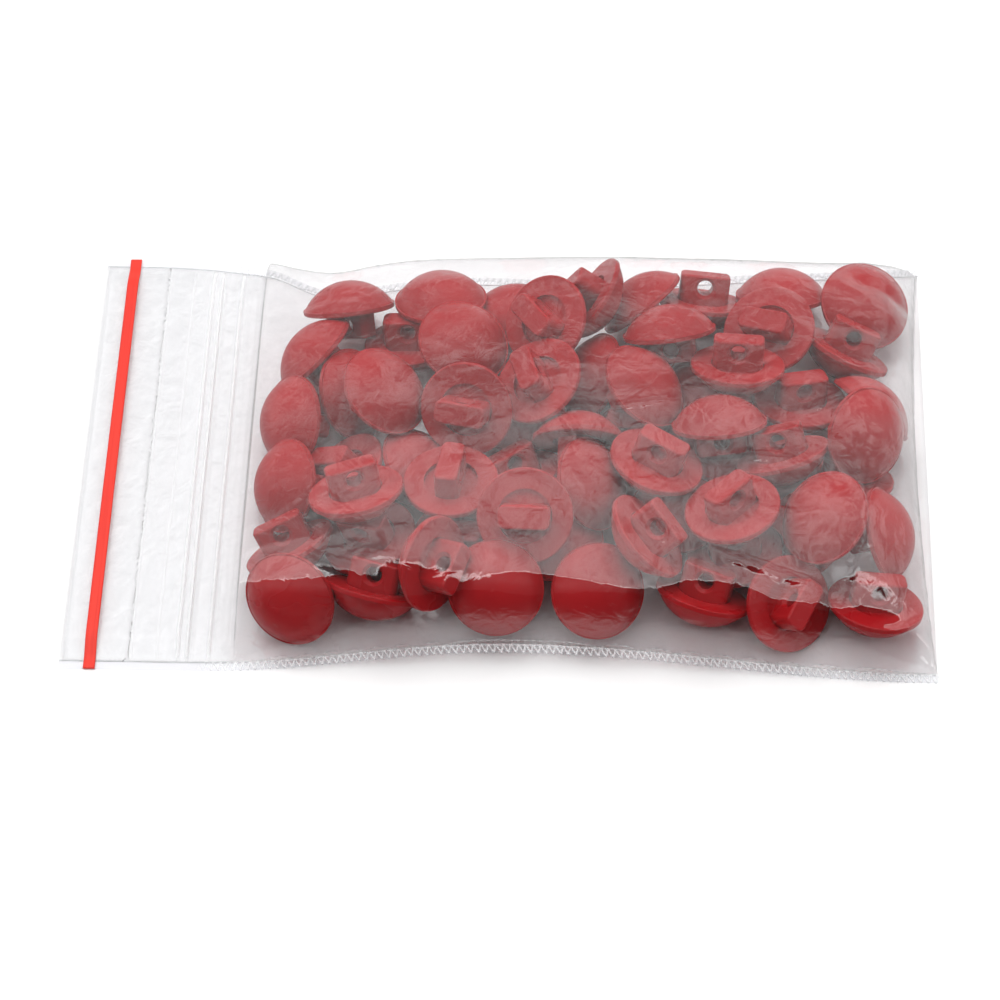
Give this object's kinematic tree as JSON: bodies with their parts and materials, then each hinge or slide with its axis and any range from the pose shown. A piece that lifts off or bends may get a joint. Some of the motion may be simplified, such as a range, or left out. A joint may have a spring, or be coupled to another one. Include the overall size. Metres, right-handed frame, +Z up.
{
  "type": "bag of shank buttons",
  "caption": "Clear resealable zip bag lying flat, with a coloured opening line, packed full of loose red domed shank buttons.",
  "frame": {"origin": "on the table, under the middle of the bag's overall box", "axes": "+X along the bag from its mouth to its bottom fold, +Y across it, +Z up from the table it lies on"},
  "size_m": [0.118, 0.07, 0.0184],
  "materials": {
    "film": "clear polyethylene film with a soft gloss",
    "line_red": "coloured film strip",
    "button_red": "glossy moulded plastic"
  },
  "bodies": {
    "root": {"bag": "film", "button_01": "button_red", "button_02": "button_red", "button_03": "button_red", "button_04": "button_red", "button_05": "button_red", "button_06": "button_red", "button_07": "button_red", "button_08": "button_red", "button_09": "button_red", "button_10": "button_red", "button_11": "button_red", "button_12": "button_red", "button_13": "button_red", "button_14": "button_red", "button_15": "button_red", "button_16": "button_red", "button_17": "button_red", "button_18": "button_red", "button_19": "button_red", "button_20": "button_red", "button_21": "button_red", "button_22": "button_red", "button_23": "button_red", "button_24": "button_red", "button_25": "button_red", "button_26": "button_red", "button_27": "button_red", "button_28": "button_red", "button_29": "button_red", "button_30": "button_red", "button_31": "button_red", "button_32": "button_red", "button_33": "button_red", "button_34": "button_red", "button_35": "button_red", "button_36": "button_red", "button_37": "button_red", "button_38": "button_red", "button_39": "button_red", "button_40": "button_red", "button_41": "button_red", "button_42": "button_red", "button_43": "button_red", "button_44": "button_red", "button_45": "button_red", "button_46": "button_red", "button_47": "button_red", "button_48": "button_red", "button_49": "button_red", "button_50": "button_red", "button_51": "button_red", "button_52": "button_red", "button_53": "button_red", "button_54": "button_red", "button_55": "button_red", "button_56": "button_red", "buttons_under_left": "button_red", "buttons_under_right": "button_red", "opening_line": "line_red"}
  },
  "joints": []
}
